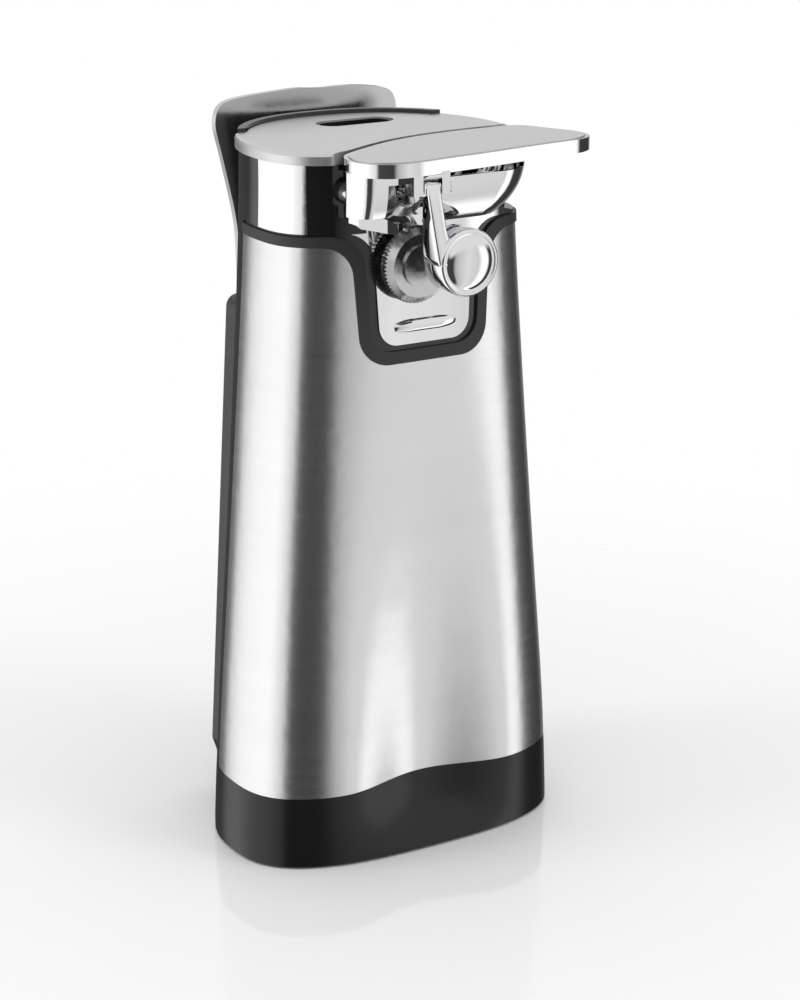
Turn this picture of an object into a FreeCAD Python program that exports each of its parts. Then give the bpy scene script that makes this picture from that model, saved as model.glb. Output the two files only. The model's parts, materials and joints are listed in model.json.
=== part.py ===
import FreeCAD, Part
import math
import os

# Electric can opener, millimetres.  +Z up, the front (cutting side) faces -Y, +X is the handle side.
# The origin lies on the floor, under the middle of the whole machine.

V = FreeCAD.Vector

# ---------------------------------------------------------------- driving dimensions
FOOT_GAP = 0.8            # the base skirt floats this far above the floor, on its feet
BASE_TOP = 24.0           # joint between base and body
SKIN_TOP = 201.0          # upper edge of the steel skin at the sides
TRIM_TOP = 204.2          # upper edge of the soft trim at the sides
BAND_FOOT = 205.0         # lower edge of the chrome band at the sides
HEAD_TOP = 226.0          # top of the chrome band
CAP_TOP = 230.0           # top of the cap's rim
RIM_TOP = 231.2           # top of the rear housing's rim
WIDE_Y = 1.0              # the body is widest at this Y
SPLIT_Y = 14.0            # joint between front and rear below the head
HEAD_SPLIT_Y = 2.0        # joint between front and rear at the head
BACK_Y = 53.0             # outer face of the tool holder
CAP_REAR_Y = 26.0         # behind this the rear housing's rim stands round the cap

SKIN_WALL = 0.9
HOUSING_WALL = 2.2
FIT_GAP = 0.1             # assembly gap between neighbouring shells

# height: half-width, front depth, back depth, front corner exponent, depth of the front channel
BASE_STATIONS = {
    FOOT_GAP: (58.0, 32.5, 45.0, 2.8, 0.0),
    4.0: (58.0, 32.4, 45.0, 2.8, 1.4),
    10.0: (57.7, 32.0, 45.0, 2.85, 5.0),
    17.0: (57.3, 31.7, 45.0, 2.9, 7.2),
    BASE_TOP: (56.8, 31.3, 45.0, 2.95, 8.0),
}
BODY_STATIONS = {
    BASE_TOP: (56.8, 31.3, 45.0, 2.95, 8.0),
    50.0: (55.1, 30.3, 45.0, 3.0, 5.9),
    80.0: (52.7, 29.1, 45.0, 3.0, 3.8),
    110.0: (50.3, 28.0, 45.0, 3.0, 2.0),
    140.0: (48.0, 27.0, 45.0, 3.0, 0.8),
    170.0: (45.8, 26.0, 45.0, 3.0, 0.2),
    202.0: (43.8, 25.0, 45.0, 3.0, 0.0),
    232.0: (43.4, 25.0, 45.0, 3.0, 0.0),
}
BACK_EXPONENT = 2.2
CHANNEL_HALF = 35.0       # half-width of the channel that the can stands against
SECTION_POINTS = 56

# drive train: shaft places in X and Z, all axles run along Y
DRIVE_X, DRIVE_Z = -5.5, 194.5
STAGE_A = {"module": 0.8, "pinion": 9, "wheel": 48}
STAGE_B = {"module": 1.0, "pinion": 10, "wheel": 36}
STAGE_C = {"module": 1.25, "pinion": 10, "wheel": 26}
STEP_C, STEP_B, STEP_A = 6.0, -5.0, 4.5   # sideways step from each axle to the next
LAYER_C = (-5.5, 0.5)     # Y span of each gear layer
LAYER_B = (1.5, 6.5)
LAYER_A = (7.5, 11.5)
FRONT_PLATE = (-9.0, -7.0)
REAR_PLATE = (13.5, 15.5)
AXLE_RADIUS = 2.0
SHAFT_RADIUS = 3.0
RUNNING_FIT = 0.05

WHEEL_RADIUS = 12.0
WHEEL_SPAN = (-31.5, -27.0)
WHEEL_TEETH = 60
WHEEL_TOOTH = 0.6

# cutting lever
PIVOT_X, PIVOT_Z = -27.0, 218.0
CUTTER_X, CUTTER_Z = -13.0, 218.9
CUTTER_RADIUS = 8.0
LEVER_PRESS = math.radians(16.5)
LEVER_SHAFT_RADIUS = 2.0
LEVER_BUSH_RADIUS = 3.2
LEVER_FOOT = 225.4        # underside of the lever's flat handle
LEVER_COVER = 1.0
MAGNET_X, MAGNET_Z = -0.8, 198.5
MAGNET_RADIUS = 10.4
HINGE_Y, HINGE_Z = -44.4, 221.0
FRONT_Y = -53.0           # crown of the magnet's dome


# ---------------------------------------------------------------- helpers
def save(shape, name):
    """Write one node, after checking that each of its solids is sound."""
    solids = shape.Solids
    if not solids or not all(s.isValid() for s in solids):
        print("BAD SHAPE", name, len(solids))
    if len(solids) > 1:
        shape = Part.makeCompound(solids)
    else:
        shape = solids[0]
    shape.exportStep("parts/" + name + ".step")
    box = shape.optimalBoundingBox(False)
    print("%-18s solids %2d  volume %8.0f  x %.1f..%.1f  y %.1f..%.1f  z %.1f..%.1f" % (
        name, len(solids), shape.Volume, box.XMin, box.XMax, box.YMin, box.YMax, box.ZMin, box.ZMax))


def box(x0, x1, y0, y1, z0, z1):
    return Part.makeBox(x1 - x0, y1 - y0, z1 - z0, V(x0, y0, z0))


def rod(x, z, radius, y0, y1):
    """Cylinder along Y."""
    return Part.makeCylinder(radius, y1 - y0, V(x, y0, z), V(0, 1, 0))


def post(x, y, radius, z0, z1):
    """Cylinder along Z."""
    return Part.makeCylinder(radius, z1 - z0, V(x, y, z0))


def bar(y, z, radius, x0, x1):
    """Cylinder along X."""
    return Part.makeCylinder(radius, x1 - x0, V(x0, y, z), V(1, 0, 0))


def ring(x, z, outer, inner, y0, y1):
    return rod(x, z, outer, y0, y1).cut(rod(x, z, inner, y0 - 1, y1 + 1))


def join(shapes):
    whole = shapes[0]
    for other in shapes[1:]:
        whole = whole.fuse(other)
    return whole.removeSplitter()


def rounded(corners):
    """Closed wire through (point, radius) corners; each corner is a tangent arc."""
    count = len(corners)
    edges = []
    starts = []
    for i in range(count):
        before = corners[i - 1][0]
        point, radius = corners[i]
        after = corners[(i + 1) % count][0]
        back = (before - point).normalize()
        ahead = (after - point).normalize()
        half = back.getAngle(ahead) / 2.0
        if radius < 1e-6 or half > math.pi / 2 - 1e-4:
            starts.append((point, point))
            continue
        reach = radius / math.tan(half)
        enter = point + back * reach
        leave = point + ahead * reach
        middle = (back + ahead).normalize()
        nearest = point + middle * (radius / math.sin(half) - radius)
        starts.append((enter, leave))
        edges.append((i, Part.Arc(enter, nearest, leave).toShape()))
    arcs = dict(edges)
    chain = []
    for i in range(count):
        if i in arcs:
            chain.append(arcs[i])
        a = starts[i][1]
        b = starts[(i + 1) % count][0]
        if (b - a).Length > 1e-6:
            chain.append(Part.LineSegment(a, b).toShape())
    return Part.Wire(chain)


def slab(wire, direction):
    return Part.Face(wire).extrude(direction)


def front_slab(corners, y0, y1):
    """Plate parallel to the front; corners are (x, z, radius)."""
    wire = rounded([(V(x, y0, z), r) for x, z, r in corners])
    return slab(wire, V(0, y1 - y0, 0))


def smooth_wire(points):
    curve = Part.BSplineCurve()
    curve.interpolate(points, PeriodicFlag=True)
    return Part.Wire(curve.toShape())


# ---------------------------------------------------------------- the body's outer form
def section(z, station, inset):
    """Closed section of the body at height z, moved inwards by inset."""
    half, front, back, corner, channel = station
    half -= inset
    points = []
    for i in range(SECTION_POINTS):
        turn = 2 * math.pi * i / SECTION_POINTS
        depth, power = (back, BACK_EXPONENT) if math.sin(turn) > 0 else (front, corner)
        depth -= inset
        across = abs(math.cos(turn)) / half
        along = abs(math.sin(turn)) / depth
        reach = (across ** power + along ** power) ** (-1.0 / power)
        x = reach * math.cos(turn)
        y = WIDE_Y + reach * math.sin(turn)
        if math.sin(turn) < 0 and abs(x) < CHANNEL_HALF:
            y += channel * math.cos(math.pi * x / (2 * CHANNEL_HALF)) ** 2
        points.append(V(x, y, z))
    return smooth_wire(points)


def form(stations, inset):
    wires = [section(z, stations[z], inset) for z in sorted(stations)]
    return Part.makeLoft(wires, True, False)


def shell(stations, outer, inner):
    return form(stations, outer).cut(form(stations, inner))


def tongue(half, bottom, corner, shoulder, top):
    """Filled outline of the head with its hanging tongue, as seen from the front.

    half is the tongue's half-width at the corner, and it widens a little upwards.
    """
    far = 80.0
    flare = 1.12
    right = [(half, bottom, corner), (half * flare, top, shoulder), (far, top, 0), (far, 260.0, 0)]
    left = [(-x, z, r) for x, z, r in reversed(right)]
    return front_slab(right + left, -60.0, SPLIT_Y)


TRIM_OUTLINE = tongue(22.4, 163.0, 10.0, 10.0, SKIN_TOP)
BEZEL_OUTLINE = tongue(19.0, 167.0, 8.0, 10.5, TRIM_TOP)
PLATE_OUTLINE = tongue(16.0, 168.8, 6.5, 10.0, BAND_FOOT)
FRONT_LOW = box(-90, 90, -90, SPLIT_Y, BASE_TOP, 240)
FRONT_HEAD = box(-90, 90, -90, HEAD_SPLIT_Y, 150, 240)


# ---------------------------------------------------------------- where the lever sweeps
def s_edge(gap):
    """The curved front edge of the cap, moved backwards by gap."""
    line = [(-60, -21.0), (-34.0, -21.6), (-26.0, -20.6), (-20.0, -17.6), (-12.0, -13.2), (-3.0, -9.2),
            (6.0, -6.6), (15.0, -4.9), (25.0, -3.9), (36.0, -3.6), (60.0, -3.4)]
    return [V(x, y + gap, 0) for x, y in line]


def ahead_of_s_edge(gap, z0, z1, left=-60.0):
    """Everything in front of the S edge, between two heights."""
    points = s_edge(gap)
    curve = Part.BSplineCurve()
    curve.interpolate(points)
    corners = [points[-1], V(60, -70, 0), V(-60, -70, 0), points[0]]
    edges = [curve.toShape()]
    for a, b in zip(corners, corners[1:]):
        edges.append(Part.LineSegment(a, b).toShape())
    block = slab(Part.Wire(edges), V(0, 0, z1 - z0))
    block.translate(V(0, 0, z0))
    return block.common(box(left, 60, -70, 20, z0 - 1, z1 + 1))


def lever_sweep(gap):
    """The space that the pressed handle needs: above a slope that falls to the right."""
    left = PIVOT_X - 7.0
    drop = math.tan(LEVER_PRESS)
    low_left = LEVER_FOOT - gap
    low_right = low_left - drop * (60 - PIVOT_X)
    wedge = front_slab([(left, low_left, 0), (PIVOT_X, low_left, 0), (60, low_right, 0), (60, 245, 0),
                        (left, 245, 0)], -60, 20)
    return wedge.common(ahead_of_s_edge(0.0, 190, 245, left))


# ---------------------------------------------------------------- housings
def make_steel_wrap():
    skin = shell(BODY_STATIONS, 0, SKIN_WALL).common(FRONT_LOW)
    skin = skin.common(box(-90, 90, -90, SPLIT_Y, BASE_TOP + FIT_GAP, SKIN_TOP))
    return skin.cut(TRIM_OUTLINE)


def make_front_housing():
    """Plastic carrier behind the steel skin, with bosses for the gear case."""
    inner = SKIN_WALL + FIT_GAP
    wall = shell(BODY_STATIONS, inner, inner + HOUSING_WALL)
    wall = wall.common(box(-90, 90, -90, SPLIT_Y, BASE_TOP + FIT_GAP, SKIN_TOP))
    wall = wall.cut(TRIM_OUTLINE)
    shelf = form(BODY_STATIONS, inner + HOUSING_WALL / 2).common(box(-90, 90, -90, SPLIT_Y, 60, 62.5))
    shelf = shelf.cut(box(-30, 30, -12, 90, 50, 70))
    return join([wall, shelf])


def make_trim_band():
    band = shell(BODY_STATIONS, -0.45, 1.6).common(box(-90, 90, -90, SPLIT_Y, 150, TRIM_TOP))
    return band.common(TRIM_OUTLINE).cut(BEZEL_OUTLINE)


def make_bezel():
    band = shell(BODY_STATIONS, 0.5, 3.2).common(box(-90, 90, -90, SPLIT_Y, 150, BAND_FOOT))
    return band.common(BEZEL_OUTLINE).cut(PLATE_OUTLINE)


def make_head_plate():
    """Chrome band and tongue in one casting, with the long bead that the can leans on."""
    band = shell(BODY_STATIONS, -0.1, 3.0).common(box(-90, 90, -90, SPLIT_Y, 150, HEAD_TOP))
    band = band.common(PLATE_OUTLINE).common(FRONT_HEAD)
    band = band.cut(lever_sweep(1.0))
    band = max(band.Solids, key=lambda s: s.Volume)
    bead = bar(-23.4, 174.4, 2.1, -9.2, 9.2)
    for side in (-9.2, 9.2):
        bead = bead.fuse(Part.makeSphere(2.1, V(side, -23.4, 174.4)))
    band = join([band, bead])
    band = band.cut(rod(DRIVE_X, DRIVE_Z, 5.0 + FIT_GAP, -40, 10))
    return band.cut(rod(PIVOT_X, PIVOT_Z, LEVER_BUSH_RADIUS + FIT_GAP, -40, 10))


def make_head_deck():
    """Dark inner part of the head: a sloping floor under the handle and the wall below the cap."""
    inside = form(BODY_STATIONS, 3.4)
    sweep = lever_sweep(1.0)
    thick = lever_sweep(3.0)
    back = thick.copy()
    back.translate(V(0, 2.0, 0))
    floor = thick.fuse(back).cut(sweep).common(inside)
    floor = floor.common(box(-90, 90, -90, 30, 150, HEAD_TOP - FIT_GAP))
    return max(floor.Solids, key=lambda s: s.Volume)


def make_rear_housing():
    wall = shell(BODY_STATIONS, 0, 2.4).common(box(-90, 90, -90, 90, BASE_TOP + FIT_GAP, RIM_TOP))
    low = box(-90, 90, SPLIT_Y + FIT_GAP, 90, 0, TRIM_TOP + 0.1)
    high = box(-90, 90, HEAD_SPLIT_Y + FIT_GAP, 90, BAND_FOOT, 260)
    right = box(0, 90, -3.2, 90, BAND_FOOT, HEAD_TOP)
    wall = wall.common(join([low, box(-90, 90, SPLIT_Y + FIT_GAP, 90, 0, 260), high, right]))
    wall = wall.cut(box(-90, 90, -90, CAP_REAR_Y + FIT_GAP, HEAD_TOP, 260))
    for i in range(5):
        z = 182 + 4.2 * i
        for side in (-1, 1):
            middle = 12.0 * side
            wall = wall.cut(box(middle - 9.0, middle + 9.0, 36, 50, z - 0.9, z + 0.9))
    for x, z in SCREW_PLACES:
        wall = wall.cut(rod(x, z, 1.7, 30, 60)).cut(rod(x, z, 3.0, 43.2, 60))
    return wall.cut(rod(GLAND_X, GLAND_Z, 4.0 + FIT_GAP, 30, 60))


def make_base_plinth():
    wall = shell(BASE_STATIONS, 0, 2.6)
    ledge = form(BASE_STATIONS, 2.0).common(box(-90, 90, -90, 90, 21.4, BASE_TOP))
    ledge = ledge.cut(box(-40, 40, -14, 34, 0, 40))
    return join([wall, ledge]).cut(rod(GLAND_X, GLAND_Z, 4.0 + FIT_GAP, 30, 60))


def make_base_cover():
    plate = form(BASE_STATIONS, 3.0).common(box(-90, 90, -90, 90, 2.6, 4.8))
    for x, y in FOOT_PLACES:
        plate = plate.cut(post(x, y, 3.0, 0, 10))
    return plate


FOOT_PLACES = [(-35.0, -13.0), (35.0, -13.0), (-33.0, 25.0), (33.0, 25.0)]
SCREW_PLACES = [(-15.0, 208.0), (15.0, 208.0)]
GLAND_X, GLAND_Z = 0.0, 12.5


def make_feet():
    pads = []
    for x, y in FOOT_PLACES:
        pad = Part.makeCone(6.2, 7.0, 2.5, V(x, y, 0))
        pads.append(pad.fuse(post(x, y, 2.9, 2.0, 6.5)).removeSplitter())
    return Part.makeCompound(pads)


def make_top_cap():
    """Satin plate over the head with a bevelled edge and the oval slot of the knife sharpener."""
    foot = HEAD_TOP + FIT_GAP
    station = BODY_STATIONS[232.0]
    edge = [(foot, -0.9), (228.8, -0.9), (229.6, -0.6), (CAP_TOP, 0.3)]
    rim = Part.makeLoft([section(z, station, inset) for z, inset in edge], True, True)
    rear = form(BODY_STATIONS, 2.8).common(box(-90, 90, CAP_REAR_Y - 2, 90, foot, CAP_TOP))
    plate = join([rear, rim.common(box(-90, 90, -90, CAP_REAR_Y, foot, CAP_TOP))])
    plate = plate.cut(ahead_of_s_edge(0.0, 200, 245, PIVOT_X - 6.0))
    return plate.cut(slot_block(13.6, 5.6, 220, 240))


SLOT_X, SLOT_Y = 5.0, 26.0


def slot_block(half_length, radius, z0, z1):
    """Upright block with round ends, on the sharpener's centre."""
    straight = half_length - radius
    block = box(SLOT_X - straight, SLOT_X + straight, SLOT_Y - radius, SLOT_Y + radius, z0, z1)
    for side in (-straight, straight):
        block = block.fuse(post(SLOT_X + side, SLOT_Y, radius, z0, z1))
    return block.removeSplitter()


def make_sharpener_guide():
    """Dark cup under the slot: a floor with a narrow gap for the blade."""
    cup = slot_block(13.5, 5.5, 213.0, 229.6).cut(slot_block(12.3, 4.3, 214.5, 240))
    lip = slot_block(16.0, 8.0, 224.0, 226.0).cut(slot_block(12.3, 4.3, 200, 240))
    return join([cup, lip])


def make_sharpener_rods():
    """Two crossed ceramic rods, seated in the bottom of the cup."""
    rods = []
    for side, shift in ((1, -1.6), (-1, 1.6)):
        rods.append(Part.makeCylinder(1.3, 10.5, V(SLOT_X + shift, SLOT_Y - side * 2.9, 215.4),
                                      V(0, side * 0.45, 1)))
    return Part.makeCompound(rods)


# ---------------------------------------------------------------- tool and its holder
TOOL_Y = (47.9, 50.4)
TOOL_TOP = 238.2


def make_multi_tool():
    """Flat bottle and jar opener with a finger loop, stored upright behind the body."""
    side = [(33.8, 230.5), (32.6, 223.0), (30.2, 213.0), (27.9, 203.0), (26.5, 194.0), (26.1, 184.0),
            (25.7, 172.0), (25.0, 155.0), (23.8, 130.0), (21.5, 112.0)]
    top = [(0.0, TOOL_TOP), (14.0, 238.0), (26.0, 237.0), (32.2, 234.6)]
    right = top + side
    left = [(-x, z) for x, z in reversed(right[1:])]
    outline = smooth_wire([V(x, TOOL_Y[0], z) for x, z in right + [(12.0, 104.5), (0.0, 103.5), (-12.0, 104.5)]
                           + left])
    plate = slab(outline, V(0, TOOL_Y[1] - TOOL_Y[0], 0))
    loop = front_slab([(-25.0, 230.0, 9.0), (25.0, 230.0, 9.0), (19.0, 209.0, 6.0), (-19.0, 209.0, 6.0)],
                      40, 60)
    bottle = front_slab([(-11.0, 196.0, 5.0), (11.0, 196.0, 5.0), (7.0, 181.0, 3.0), (-7.0, 181.0, 3.0)],
                        40, 60)
    return plate.cut(loop).cut(bottle)


def make_tool_holder():
    """Pocket on the back of the housing, open at the top."""
    outer = [(-37.4, 17.0, 4.0), (-35.0, 10.0, 3.0), (35.0, 10.0, 3.0), (37.4, 17.0, 4.0),
             (28.4, 172.0, 4.0), (-28.4, 172.0, 4.0)]
    block = front_slab(outer, 36.0, BACK_Y)
    block = block.cut(form(BODY_STATIONS, -FIT_GAP)).cut(form(BASE_STATIONS, -FIT_GAP))
    block = max(block.Solids, key=lambda s: s.Volume)
    pocket = front_slab([(-26.4, 180.0, 0), (26.4, 180.0, 0), (25.6, 112.0, 0), (22.0, 103.3, 0),
                         (-22.0, 103.3, 0), (-25.6, 112.0, 0)], TOOL_Y[0] - 0.6, TOOL_Y[1] + 0.6)
    block = block.cut(pocket)
    return block.cut(rod(GLAND_X, GLAND_Z, 8.0, 30, 60)).cut(box(-8, 8, 30, 60, 0, GLAND_Z))


def make_cord_gland():
    """Flexible bush in the back of the base, where the mains lead would leave."""
    bush = rod(GLAND_X, GLAND_Z, 4.0, 40.0, 46.0).fuse(rod(GLAND_X, GLAND_Z, 5.6, 46.2, 48.0))
    flange = rod(GLAND_X, GLAND_Z, 5.6, 40.0, 42.0)
    tail = Part.makeCone(5.0, 3.6, 4.6, V(GLAND_X, 48.0, GLAND_Z), V(0, 1, 0))
    body = bush.fuse(flange).fuse(rod(GLAND_X, GLAND_Z, 4.0, 45.9, 46.3)).fuse(tail)
    return body.cut(rod(GLAND_X, GLAND_Z, 2.4, 30, 60)).removeSplitter()


def make_housing_screws():
    screws = []
    for x, z in SCREW_PLACES:
        screw = rod(x, z, 1.5, 26.0, 43.3).fuse(rod(x, z, 2.9, 43.3, 45.3))
        screw = screw.cut(box(x - 2.0, x + 2.0, 44.4, 46.0, z - 0.4, z + 0.4))
        screws.append(screw.cut(box(x - 0.4, x + 0.4, 44.4, 46.0, z - 2.0, z + 2.0)))
    return Part.makeCompound(screws)


# ---------------------------------------------------------------- gears
PRESSURE = math.radians(25.0)
TIP = 0.8                 # tooth height above and below the pitch circle, in modules
ROOT = 1.05
BACKLASH = 0.16


def involute(angle):
    return math.tan(angle) - angle


def gear_blank(stage_module, teeth, phase, x, z, y0, y1):
    """Spur gear along Y whose first tooth points at angle phase in the X-Z plane."""
    pitch = stage_module * teeth / 2.0
    base = pitch * math.cos(PRESSURE)
    tip = pitch + TIP * stage_module
    root = pitch - ROOT * stage_module
    half = math.pi / (2 * teeth) - BACKLASH / (2 * pitch) + involute(PRESSURE)
    start = max(base, root)
    radii = [start + (tip - start) * k / 3.0 for k in range(4)]
    flank = [(root, half)] if root < base else []
    flank += [(r, half - involute(math.acos(min(1.0, base / r)))) for r in radii]
    points = []
    for tooth in range(teeth):
        middle = phase + 2 * math.pi * tooth / teeth
        profile = [(r, middle - a) for r, a in flank] + [(r, middle + a) for r, a in reversed(flank)]
        points += [V(x + r * math.cos(a), y0, z + r * math.sin(a)) for r, a in profile]
    wire = Part.makePolygon(points + [points[0]])
    return slab(wire, V(0, y1 - y0, 0))


def next_axle(x, z, stage, step):
    distance = stage["module"] * (stage["pinion"] + stage["wheel"]) / 2.0
    return x + step, z - math.sqrt(distance ** 2 - step ** 2)


def mesh_phase(place, teeth, phase, other_place, other_teeth):
    """Phase of a gear that meshes, without touching, with the one given."""
    towards = math.atan2(other_place[1] - place[1], other_place[0] - place[0])
    share = (towards - phase) * teeth / (2 * math.pi)
    return towards + math.pi - (0.5 - share) * 2 * math.pi / other_teeth


DRIVE = (DRIVE_X, DRIVE_Z)
SECOND = next_axle(*DRIVE, STAGE_C, STEP_C)
FIRST = next_axle(*SECOND, STAGE_B, STEP_B)
MOTOR = next_axle(*FIRST, STAGE_A, STEP_A)
PHASE_C = mesh_phase(DRIVE, STAGE_C["wheel"], 0.0, SECOND, STAGE_C["pinion"])
PHASE_B = mesh_phase(SECOND, STAGE_B["wheel"], 0.0, FIRST, STAGE_B["pinion"])
PHASE_A = mesh_phase(FIRST, STAGE_A["wheel"], 0.0, MOTOR, STAGE_A["pinion"])
MOTOR_X, MOTOR_Z = MOTOR


def make_drive_gear():
    gear = gear_blank(STAGE_C["module"], STAGE_C["wheel"], 0.0, *DRIVE, *LAYER_C)
    for i in range(6):
        turn = math.radians(60 * i)
        gear = gear.cut(rod(DRIVE_X + 10 * math.cos(turn), DRIVE_Z + 10 * math.sin(turn), 2.6, -20, 20))
    return gear.cut(rod(*DRIVE, SHAFT_RADIUS, -20, 20))


def make_compound(place, wheel_stage, wheel_layer, pinion_stage, pinion_layer, pinion_phase):
    """A large wheel and a small pinion moulded together on one axle."""
    wheel = gear_blank(wheel_stage["module"], wheel_stage["wheel"], 0.0, *place, *wheel_layer)
    pinion = gear_blank(pinion_stage["module"], pinion_stage["pinion"], pinion_phase, *place,
                        pinion_layer[0], wheel_layer[0] + 0.01)
    body = wheel.fuse(pinion)
    return body.cut(rod(*place, AXLE_RADIUS + RUNNING_FIT, -20, 30))


def make_gear_axles():
    pins = [rod(*place, AXLE_RADIUS, FRONT_PLATE[0] - 1.0, REAR_PLATE[1] + 0.6) for place in (FIRST, SECOND)]
    return Part.makeCompound(pins)


def make_gear_plate(span):
    """Steel plate that carries the axles; its upper end narrows towards the drive shaft."""
    y0, y1 = span
    corners = [(-23, 112, 5), (23, 112, 5), (24, 200, 6), (16, 209, 6), (-18, 209, 8), (-29, 184, 6), (-29, 168, 6)]
    plate = front_slab(corners, y0, y1)
    holes = [(*FIRST, AXLE_RADIUS), (*SECOND, AXLE_RADIUS)]
    holes += [(x, z, 2.0) for x, z in POST_PLACES]
    for x, z, radius in holes:
        plate = plate.cut(rod(x, z, radius, -30, 30))
    return plate


POST_PLACES = [(-17.0, 122.0), (17.0, 122.0), (-24.0, 178.0), (18.5, 196.0)]


def make_front_gear_plate():
    return make_gear_plate(FRONT_PLATE).cut(rod(*DRIVE, 5.0, -30, 30))


def make_rear_gear_plate():
    return make_gear_plate(REAR_PLATE).cut(rod(*MOTOR, 4.0, -30, 30))


def make_spacer_posts():
    posts = []
    for x, z in POST_PLACES:
        body = rod(x, z, 3.0, FRONT_PLATE[1], REAR_PLATE[0])
        body = body.fuse(rod(x, z, 2.0, FRONT_PLATE[0] - 1.5, REAR_PLATE[1])).removeSplitter()
        posts.append(body)
    return Part.makeCompound(posts)


def make_drive_shaft():
    shaft = rod(*DRIVE, SHAFT_RADIUS, -31.0, 3.0)
    return shaft.fuse(rod(*DRIVE, SHAFT_RADIUS + 1.2, 0.6, 1.3)).removeSplitter()


def make_drive_bushing():
    """Bearing bush from the face of the tongue to the front gear plate."""
    bush = rod(*DRIVE, 5.0, -25.2, FRONT_PLATE[1]).fuse(rod(*DRIVE, 6.4, -26.3, -25.0))
    return bush.cut(rod(*DRIVE, SHAFT_RADIUS + RUNNING_FIT, -40, 20)).removeSplitter()


def make_drive_wheel():
    """Serrated wheel that grips the underside of the can's rim."""
    points = []
    for i in range(2 * WHEEL_TEETH):
        radius = WHEEL_RADIUS if i % 2 == 0 else WHEEL_RADIUS - WHEEL_TOOTH
        turn = math.pi * i / WHEEL_TEETH
        points.append(V(DRIVE_X + radius * math.cos(turn), WHEEL_SPAN[0], DRIVE_Z + radius * math.sin(turn)))
    wheel = slab(Part.makePolygon(points + [points[0]]), V(0, WHEEL_SPAN[1] - WHEEL_SPAN[0], 0))
    bevel = Part.makeCone(WHEEL_RADIUS + 0.2, WHEEL_RADIUS - 2.2, 2.4, V(DRIVE_X, -29.1, DRIVE_Z), V(0, -1, 0))
    bevel = bevel.fuse(rod(*DRIVE, 20, -29.1, -20))
    wheel = wheel.common(bevel)
    hub = rod(*DRIVE, 6.5, -32.4, -31.0)
    return wheel.fuse(hub).removeSplitter().cut(rod(*DRIVE, SHAFT_RADIUS, -31.0, -20))


# ---------------------------------------------------------------- motor
STACK = (19.0, 34.0)
ROTOR_RADIUS = 13.0


def make_motor_core():
    """Laminated stack: a bore for the rotor above, a leg for the coil below."""
    x, z = MOTOR
    core = front_slab([(x - 28, z + 21, 3), (x + 28, z + 21, 3), (x + 28, z - 40, 3), (x - 28, z - 40, 3)],
                      *STACK)
    core = core.cut(front_slab([(x - 17, z - 17.5, 1), (x + 17, z - 17.5, 1), (x + 17, z - 28, 1),
                                (x - 17, z - 28, 1)], 0, 60))
    core = core.cut(rod(x, z, ROTOR_RADIUS + 0.5, 0, 60))
    for side in (-20.5, 20.5):
        for level in (15.0, -14.0):
            core = core.cut(rod(x + side, z + level, 1.8, 0, 60))
    return core


def make_motor_coil():
    """Wound bobbin round the lower leg of the stack."""
    x, z = MOTOR
    winding = box(x - 14.5, x + 14.5, STACK[0] - 5.0, STACK[1] + 5.0, z - 46.0, z - 28.4 + 8.0)
    winding = winding.makeFillet(2.0, [e for e in winding.Edges if abs(e.tangentAt(0).x) > 0.9])
    cheeks = []
    for side in (-16.0, 14.5):
        cheeks.append(box(x + side, x + side + 1.5, STACK[0] - 5.8, STACK[1] + 5.8, z - 46.6, z - 19.6))
    body = join([winding] + cheeks)
    return body.cut(box(x - 30, x + 30, STACK[0] - 0.2, STACK[1] + 0.2, z - 40.2, z - 27.8))


def make_motor_rotor():
    x, z = MOTOR
    rotor = rod(x, z, ROTOR_RADIUS, STACK[0], STACK[1])
    rotor = rotor.fuse(ring(x, z, 11.5, 7.0, STACK[0] - 1.5, STACK[0] + 0.1))
    return rotor.fuse(ring(x, z, 11.5, 7.0, STACK[1] - 0.1, STACK[1] + 1.5)).cut(rod(x, z, AXLE_RADIUS, 0, 60))


def make_motor_shaft():
    return rod(*MOTOR, AXLE_RADIUS, LAYER_A[0] - 0.5, 42.5)


def make_motor_pinion():
    pinion = gear_blank(STAGE_A["module"], STAGE_A["pinion"], PHASE_A, *MOTOR, *LAYER_A)
    return pinion.cut(rod(*MOTOR, AXLE_RADIUS, 0, 30))


def make_motor_bracket(y0, y1, leg_to):
    """Strap across the stack with a boss for the shaft's bush and two legs that meet the stack."""
    x, z = MOTOR
    strap = front_slab([(x - 24, z + 20, 5), (x + 24, z + 20, 5), (x + 24, z - 19, 5), (x - 24, z - 19, 5)],
                       y0, y1)
    strap = strap.cut(front_slab([(x - 17, z + 12, 3), (x + 17, z + 12, 3), (x + 17, z - 12, 3),
                                  (x - 17, z - 12, 3)], y0 - 1, y1 + 1))
    strap = strap.fuse(box(x - 18, x + 18, y0, y1, z - 4, z + 4)).fuse(rod(x, z, 6.5, y0, y1))
    lo, hi = min(y0, leg_to), max(y1, leg_to)
    for side in (-20.5, 20.5):
        for level in (15.0, -14.0):
            strap = strap.fuse(rod(x + side, z + level, 3.2, lo, hi))
    return strap.removeSplitter().cut(rod(x, z, 3.5, 0, 60))


def make_motor_bush(y0, y1):
    return ring(*MOTOR, 3.5, AXLE_RADIUS + RUNNING_FIT, y0, y1)


# ---------------------------------------------------------------- switch and lever return
SWITCH_Y = (-19.0, -12.6)
CRANK_REACH = 9.0
PLUNGER_TOP = 214.8


def make_lever_shaft():
    """Pivot shaft of the lever, fixed in the lever's hub and turning in a bush in the head."""
    return rod(PIVOT_X, PIVOT_Z, LEVER_SHAFT_RADIUS, -30.0, -10.0)


def make_lever_bush():
    return ring(PIVOT_X, PIVOT_Z, LEVER_BUSH_RADIUS, LEVER_SHAFT_RADIUS + RUNNING_FIT, -24.0, -17.0)


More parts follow.
